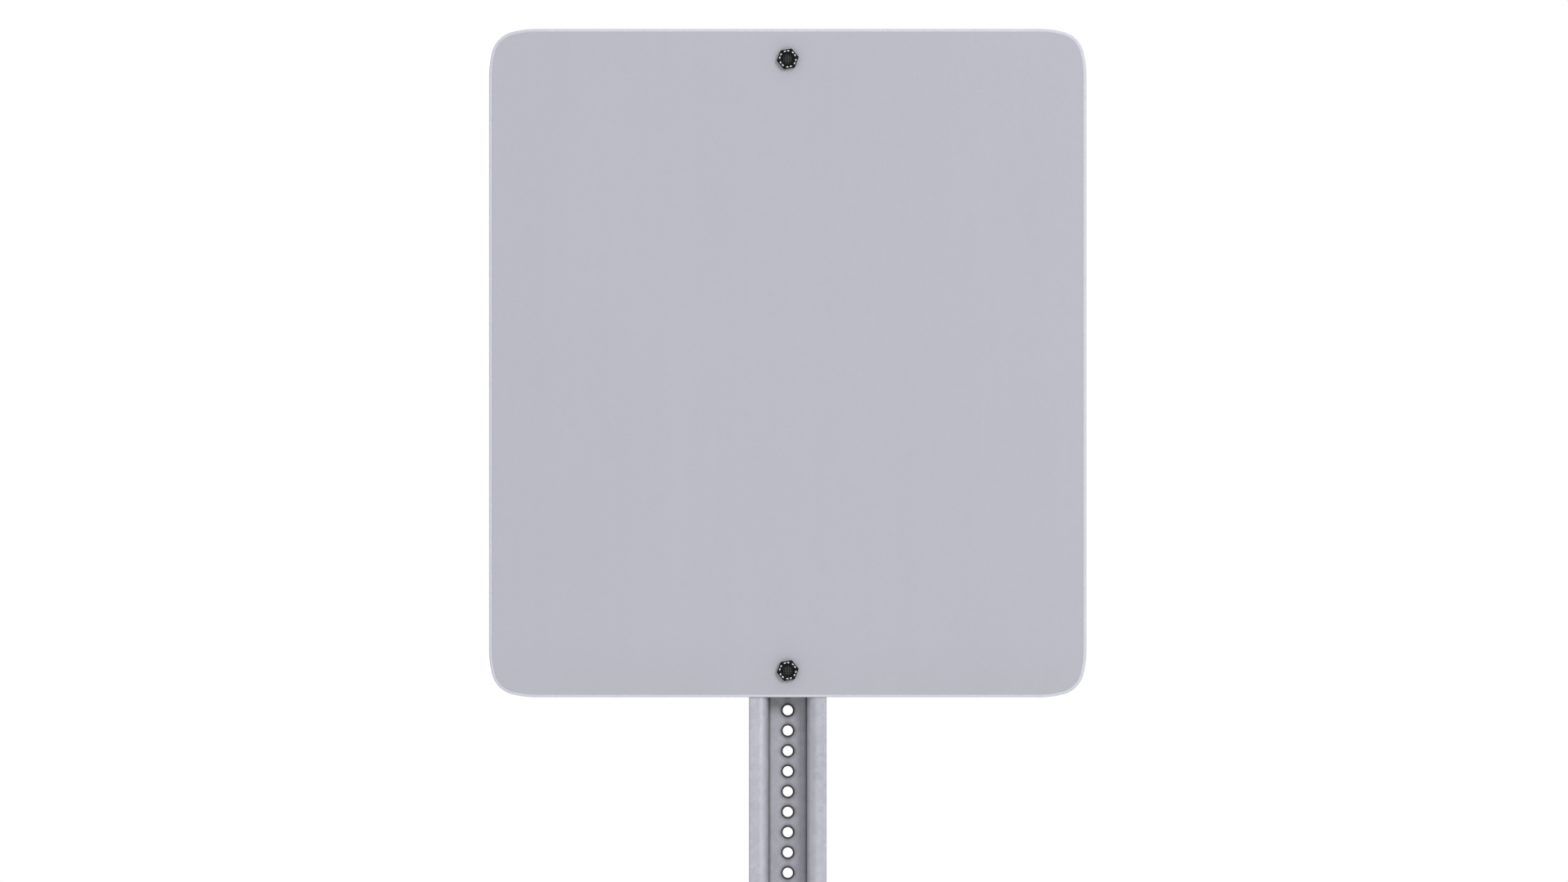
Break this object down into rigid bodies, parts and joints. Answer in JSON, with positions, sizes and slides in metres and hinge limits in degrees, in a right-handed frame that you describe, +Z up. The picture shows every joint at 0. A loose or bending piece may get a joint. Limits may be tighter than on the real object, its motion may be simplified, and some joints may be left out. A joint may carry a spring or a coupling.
{
  "type": "signpost with sign",
  "caption": "Blank rounded sign panel bolted to a flanged U-channel post with a full row of holes, standing on a surface-mount base plate",
  "frame": {"origin": "on the ground, under the middle of the base plate", "axes": "+Z up along the post, -Y out of the sign's face towards its reader, +X to the reader's right"},
  "size_m": [0.7444, 0.25, 2.369],
  "materials": {
    "sheeting": "pale blue-grey reflective sheeting, no print",
    "panel_aluminium": "mill-finish sheet, rolled grain, dull",
    "post_galvanised": "hot-dip galvanised, weathered, spangled",
    "foot_galvanised": "hot-dip galvanised plate",
    "weld_steel": "galvanised weld bead",
    "black_steel": "black oxide, worn bright on the land and edges",
    "plated_steel": "zinc plated"
  },
  "bodies": {
    "root": {"post": "post_galvanised", "sign_panel": "panel_aluminium", "face_sheeting": "sheeting", "base_plate": "foot_galvanised", "upright": "foot_galvanised", "gusset_left": "foot_galvanised", "gusset_right": "foot_galvanised", "weld_upright_front": "weld_steel", "weld_upright_back": "weld_steel", "weld_gusset_left": "weld_steel", "weld_gusset_right": "weld_steel", "sign_top_bolt": "black_steel", "sign_top_nut": "black_steel", "sign_top_washer": "plated_steel", "sign_top_lock_washer": "plated_steel", "sign_bottom_bolt": "black_steel", "sign_bottom_nut": "black_steel", "sign_bottom_washer": "plated_steel", "sign_bottom_lock_washer": "plated_steel", "foot_top_bolt": "black_steel", "foot_top_nut": "black_steel", "foot_top_washer": "plated_steel", "foot_top_lock_washer": "plated_steel", "foot_bottom_bolt": "black_steel", "foot_bottom_nut": "black_steel", "foot_bottom_washer": "plated_steel", "foot_bottom_lock_washer": "plated_steel"}
  },
  "joints": []
}
